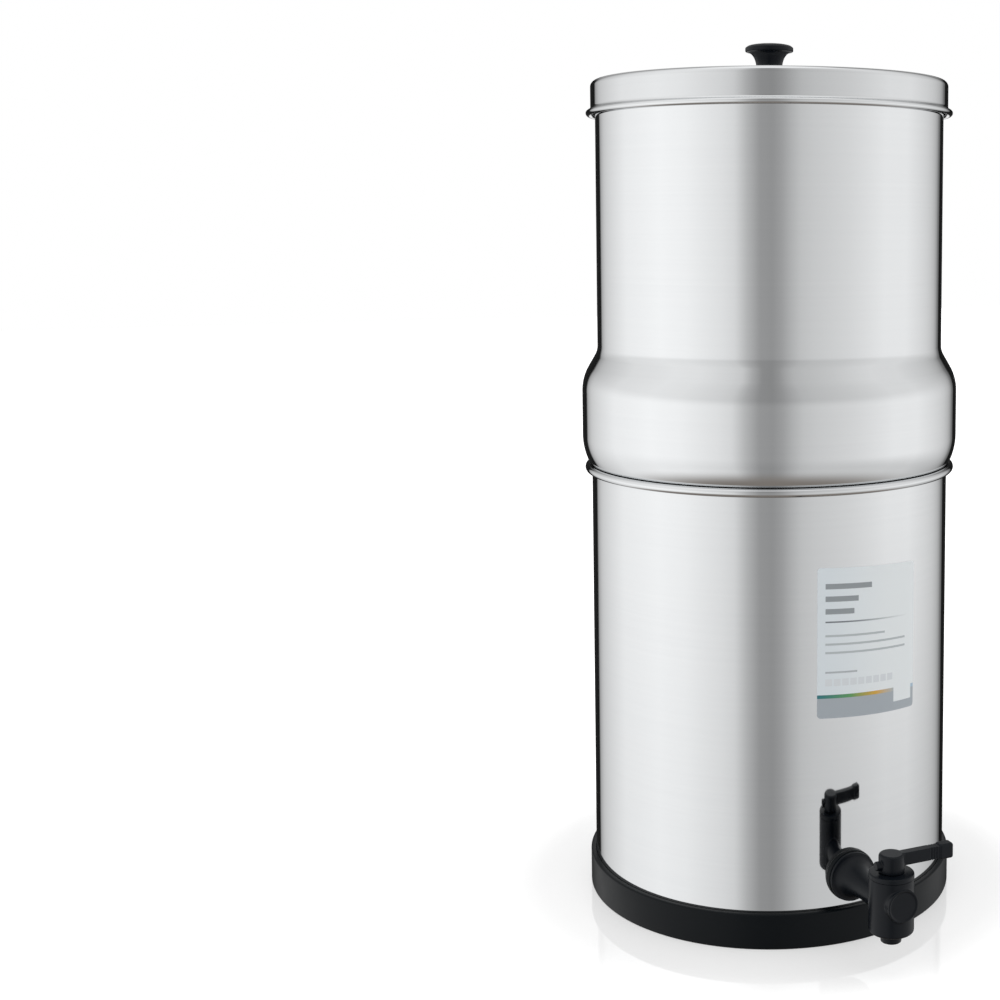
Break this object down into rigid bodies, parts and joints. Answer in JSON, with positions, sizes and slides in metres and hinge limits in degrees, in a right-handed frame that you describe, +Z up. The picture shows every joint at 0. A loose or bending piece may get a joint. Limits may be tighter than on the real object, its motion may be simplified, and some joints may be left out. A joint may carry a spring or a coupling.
{
  "type": "gravity water filter with tap",
  "caption": "Free-standing gravity water filter: two nesting stainless chambers with ceramic candles inside, a knobbed lid, a black base ring and a lever tap.",
  "frame": {"origin": "on the table, on the common axis of the two chambers", "axes": "+Z up along the chambers' axis, the tap points along -Y, the lever points along +X when closed"},
  "size_m": [0.2354, 0.2925, 0.5306],
  "materials": {
    "polished_steel": "polished stainless sheet with a soft mirror gloss",
    "plain_steel": "plain stainless fastener",
    "black_plastic": "moulded, satin",
    "black_rubber": "smooth, satin",
    "blue_rubber": "smooth silicone, satin",
    "white_ceramic": "unglazed, fine porous",
    "carbon_block": "pressed granules"
  },
  "bodies": {
    "lower_half": {"lower_chamber": "polished_steel", "base_ring": "black_rubber", "tap_body": "black_plastic", "tap_bonnet": "black_plastic", "tap_outer_washer": "black_rubber", "tap_inner_washer": "black_rubber", "tap_back_nut": "black_plastic"},
    "tap_lever": {"tap_plug": "black_plastic", "plug_seal_upper": "black_rubber", "plug_seal_lower": "black_rubber", "tap_handle": "black_plastic"},
    "upper_half": {"upper_chamber": "polished_steel", "left_candle_ceramic": "white_ceramic", "left_candle_core": "carbon_block", "left_candle_mount": "black_plastic", "left_candle_seal": "blue_rubber", "right_candle_ceramic": "white_ceramic", "right_candle_core": "carbon_block", "right_candle_mount": "black_plastic", "right_candle_seal": "blue_rubber"},
    "left_nut": {"left_wing_nut": "black_plastic"},
    "right_nut": {"right_wing_nut": "black_plastic"},
    "lid_cover": {"lid": "polished_steel", "lid_knob": "black_plastic", "knob_washer": "plain_steel", "knob_screw": "plain_steel"}
  },
  "joints": [
    {"name": "tap_turn", "type": "hinge", "parent": "lower_half", "child": "tap_lever", "pos_m": [0, -0.161, 0.04], "axis": [0, 0, -1], "range_deg": [0, 90]},
    {"name": "upper_lift", "type": "slide", "parent": "lower_half", "child": "upper_half", "axis": [0, 0, 1], "range_m": [0, 0.08]},
    {"name": "lid_lift", "type": "slide", "parent": "upper_half", "child": "lid_cover", "axis": [0, 0, 1], "range_m": [0, 0.06]},
    {"name": "left_nut_turn", "type": "hinge", "parent": "upper_half", "child": "left_nut", "pos_m": [-0.048, 0, 0.247], "axis": [0, 0, 1], "continuous": true},
    {"name": "right_nut_turn", "type": "hinge", "parent": "upper_half", "child": "right_nut", "pos_m": [0.048, 0, 0.247], "axis": [0, 0, 1], "continuous": true}
  ]
}
